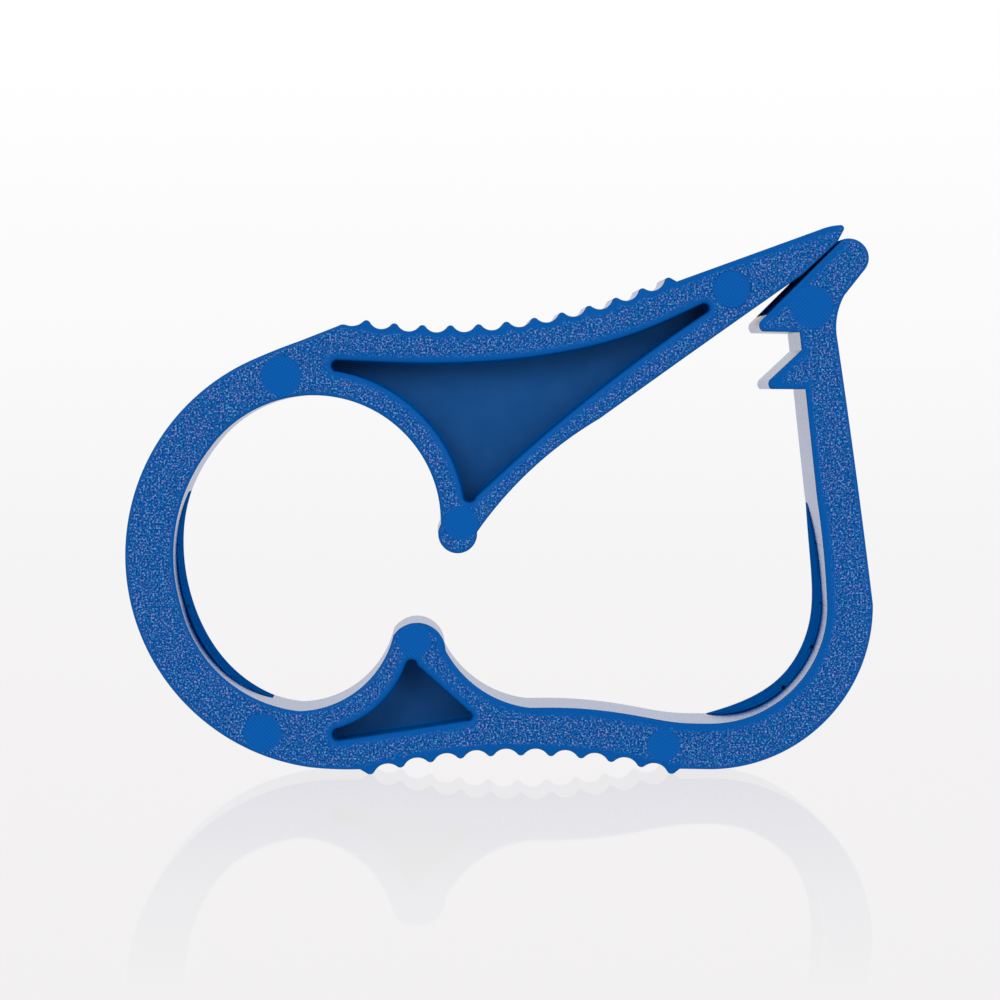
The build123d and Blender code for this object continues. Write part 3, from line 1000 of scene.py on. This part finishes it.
# Skins at the bends up the post, made in place and not bent or attached to a body: (body below, body above,
# lowest height, highest height, CAD nodes).
POST_BENDS = {
    "post_bend_3": ("post_2", "post_3", 11.76, 15.9, ("post_segment_2", "post_segment_3")),
    "post_bend_4": ("post_3", "latch", 16.0, 20.8, ("post_segment_3",)),
}
for name, (body, *cads) in RIGID.items():
    made = piece(name)
    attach(made, body)
    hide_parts(*cads)
for name, (a, b, centre, radius, angle, reach, cads) in BENDS.items():
    made = piece(name)
    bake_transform(made)
    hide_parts(*cads)
for name, (a, b, low, high, cads) in POST_BENDS.items():
    made = piece(name)
    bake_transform(made)
    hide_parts(*cads)
for name in ("upper_web", "lower_web"):
    web = frame["nodes"][name]
    web.data.materials.clear()
    web.data.materials.append(web_material())
bpy.data.meshes.remove(MASTER)


# ---------------------------------------------------------------- stage, light and camera
CAMERA_PLACE = (-5.85, -305.0, 26.9)
CAMERA_AIM = (-0.035, -5.0, 19.25)
CAMERA_LENS = 154.3
BACK_START, BACK_CURVE = 200.0, 160.0      # where the floor turns up, and the radius of the turn


def sweep():
    """White floor that turns up into a white backdrop."""
    profile = [(y, 0.0) for y in (-1500.0, -400.0, -200.0, -60.0, 0.0, 60.0, BACK_START)]
    for degrees in range(6, 91, 6):
        a = math.radians(degrees)
        profile.append((BACK_START + BACK_CURVE * math.sin(a), BACK_CURVE - BACK_CURVE * math.cos(a)))
    profile += [(BACK_START + BACK_CURVE, z) for z in (250.0, 400.0, 700.0)]
    verts, faces = [], []
    for y, z in profile:
        verts += [(x * MM, y * MM, z * MM) for x in (-1500.0, 1500.0)]
    for k in range(len(profile) - 1):
        faces.append((2 * k, 2 * k + 1, 2 * k + 3, 2 * k + 2))
    mesh = bpy.data.meshes.new("sweep")
    mesh.from_pydata(verts, [], faces)
    mesh.shade_smooth()
    made = bpy.data.objects.new("stage_sweep", mesh)
    bpy.context.scene.collection.objects.link(made)
    material = bpy.data.materials.new("stage_white")
    material.use_nodes = True
    tree = material.node_tree
    tree.nodes.clear()
    place = node(tree, "ShaderNodeTexCoord").outputs["Object"]
    split = node(tree, "ShaderNodeSeparateXYZ", {0: place})
    far, up = split.outputs[1], split.outputs[2]
    floor = node(tree, "ShaderNodeMapRange", {0: far, 1: -0.115, 2: 0.2, 3: 0.890, 4: 0.915}).outputs[0]
    back = node(tree, "ShaderNodeMapRange", {0: up, 1: 0.0, 2: 0.075, 3: 0.0, 4: 0.084}).outputs[0]
    level = maths(tree, "ADD", floor, back)
    tint = mix(tree, ramp(tree, up, -0.01, 0.035), (1.0, 0.982, 0.990), (1.0, 1.0, 1.0))
    glow = node(tree, "ShaderNodeEmission", {0: tint, 1: level})
    shine = node(tree, "ShaderNodeBsdfGlossy", {"Color": (0.96, 0.94, 0.97, 1.0), "Roughness": 0.03})
    near = node(tree, "ShaderNodeMapRange", {0: far, 1: -0.116, 2: -0.004, 3: 0.0, 4: 0.17}).outputs[0]
    fade = maths(tree, "MULTIPLY", near, ramp(tree, far, 0.004, 0.06, 1.0, 0.0))
    both = node(tree, "ShaderNodeMixShader", {0: fade, 1: glow.outputs[0], 2: shine.outputs[0]})
    out = node(tree, "ShaderNodeOutputMaterial")
    tree.links.new(both.outputs[0], out.inputs[0])
    mesh.materials.append(material)


def lamp(name, place, target, size, watts, colour=(1.0, 1.0, 1.0)):
    data = bpy.data.lights.new(name, "AREA")
    data.shape = "RECTANGLE"
    data.size, data.size_y = size
    data.energy = watts
    data.color = colour
    made = bpy.data.objects.new(name, data)
    made.location = place
    made.rotation_euler = (Vector(target) - Vector(place)).to_track_quat("-Z", "Y").to_euler()
    made.visible_camera = False
    bpy.context.scene.collection.objects.link(made)


def world():
    made = bpy.data.worlds.new("studio")
    bpy.context.scene.world = made
    made.use_nodes = True
    tree = made.node_tree
    tree.nodes.clear()
    seen = node(tree, "ShaderNodeLightPath").outputs["Is Camera Ray"]
    dim = node(tree, "ShaderNodeBackground", {0: (0.12, 0.12, 0.125, 1.0), 1: 1.0})
    pale = node(tree, "ShaderNodeBackground", {0: (0.93, 0.92, 0.925, 1.0), 1: 1.0})
    both = node(tree, "ShaderNodeMixShader", {0: seen, 1: dim.outputs[0], 2: pale.outputs[0]})
    out = node(tree, "ShaderNodeOutputWorld")
    tree.links.new(both.outputs[0], out.inputs[0])


def camera():
    data = bpy.data.cameras.new("camera")
    data.sensor_width = 36.0
    data.lens = CAMERA_LENS
    data.clip_start, data.clip_end = 0.01, 20.0
    made = bpy.data.objects.new("camera", data)
    place = Vector([c * MM for c in CAMERA_PLACE])
    aim = Vector([c * MM for c in CAMERA_AIM])
    made.location = place
    made.rotation_euler = (aim - place).to_track_quat("-Z", "Y").to_euler()
    bpy.context.scene.collection.objects.link(made)
    bpy.context.scene.camera = made


sweep()
world()
lamp("key_left", (-0.32, -0.55, 0.30), (0, 0, 0.02), (0.40, 0.40), 2.5)
lamp("key_right", (0.34, -0.55, 0.26), (0, 0, 0.02), (0.40, 0.40), 2.2)
lamp("top", (0.0, -0.05, 0.60), (0, 0, 0.02), (0.5, 0.4), 1.2)
camera()
bpy.context.scene.view_settings.view_transform = "Standard"
